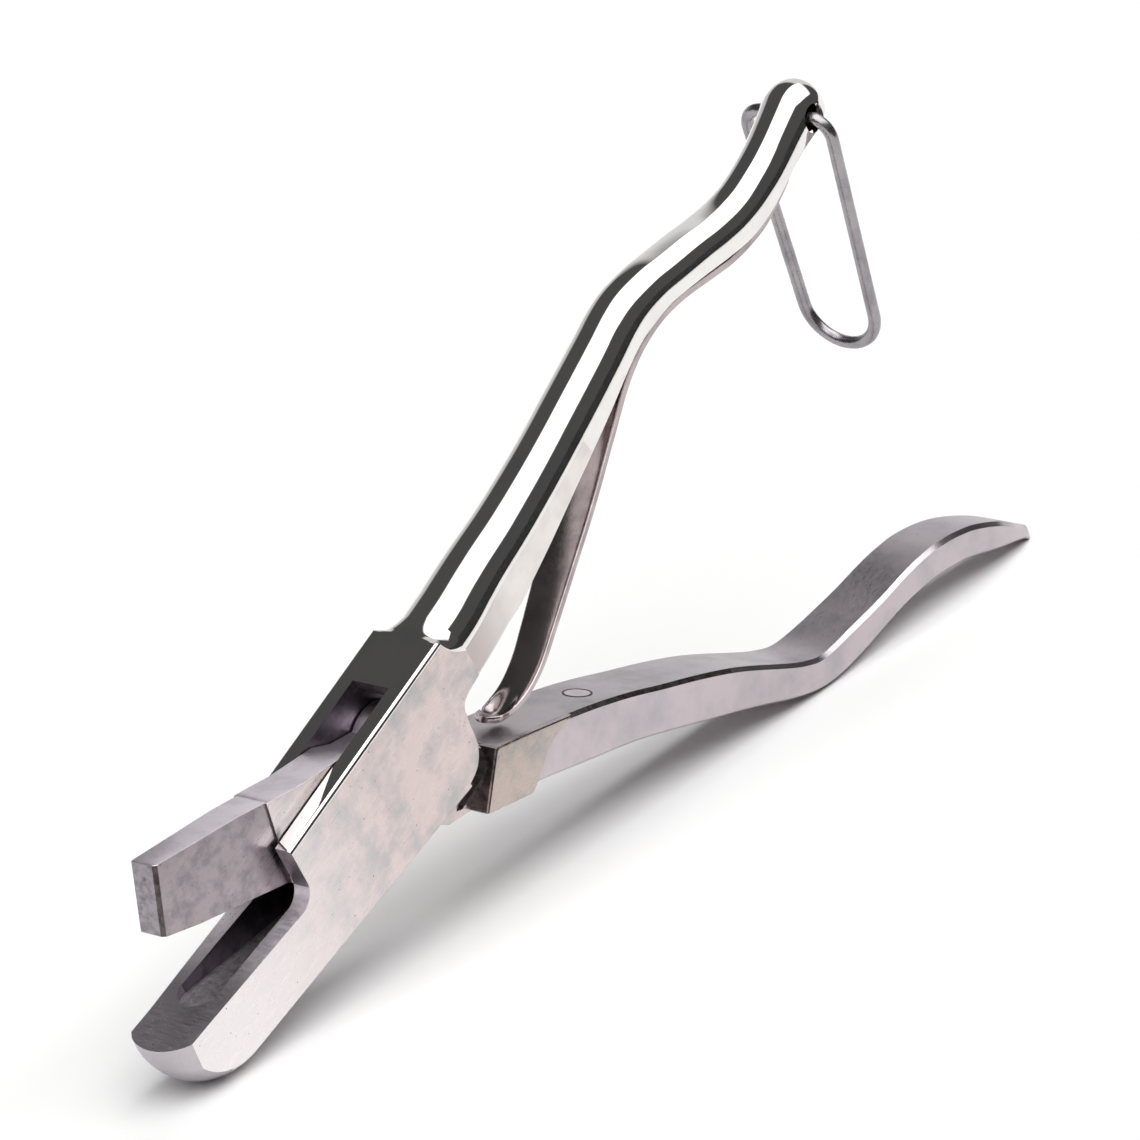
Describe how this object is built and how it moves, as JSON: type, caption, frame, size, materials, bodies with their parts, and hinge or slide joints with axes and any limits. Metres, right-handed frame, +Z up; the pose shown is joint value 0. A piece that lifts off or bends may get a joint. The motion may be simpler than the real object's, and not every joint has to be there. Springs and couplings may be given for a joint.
{
  "type": "notching pliers",
  "caption": "One-hand notching pliers: punch lever through a slotted frame onto a die jaw, leaf spring between the handles, wire bail at the end.",
  "frame": {"origin": "on the ground under the middle of the whole tool, as it stands on its nose and on the elbow of the lower handle; the middle plane of the frame lies 1.7 mm to the -Y side, because the bail hangs to the other side", "axes": "+X runs level from the nose of the jaw to the handles, +Y along the pivot pin, +Z up"},
  "size_m": [0.2869, 0.023, 0.1249],
  "materials": {
    "frame_steel": "nickel plate, mirror on the handle, satin on the cheeks",
    "lever_steel": "fine ground steel, lightly polished",
    "pin_steel": "polished",
    "spring_steel": "polished, dark",
    "rivet_steel": "ground flush",
    "wire_steel": "drawn wire, bright at the bends"
  },
  "bodies": {
    "frame": {"frame": "frame_steel", "pivot_pin": "pin_steel", "leaf_spring": "spring_steel", "spring_rivet": "pin_steel"},
    "lever": {"lever": "lever_steel", "lever_rivet": "rivet_steel"},
    "bail": {"bail": "wire_steel"}
  },
  "joints": [
    {"name": "lever_pivot", "type": "hinge", "parent": "frame", "child": "lever", "pos_m": [-0.06631, -0.0017, 0.03995], "axis": [0, -1, 0], "range_deg": [0, 13.9], "stiffness_Nm_per_rad": 1.2, "springref_deg": -34.38, "deforming": ["leaf_spring"]},
    {"name": "bail_swing", "type": "hinge", "parent": "frame", "child": "bail", "pos_m": [0.07559, -0.0017, 0.11787], "axis": [0, -1, 0], "range_deg": [-75, 264]}
  ]
}
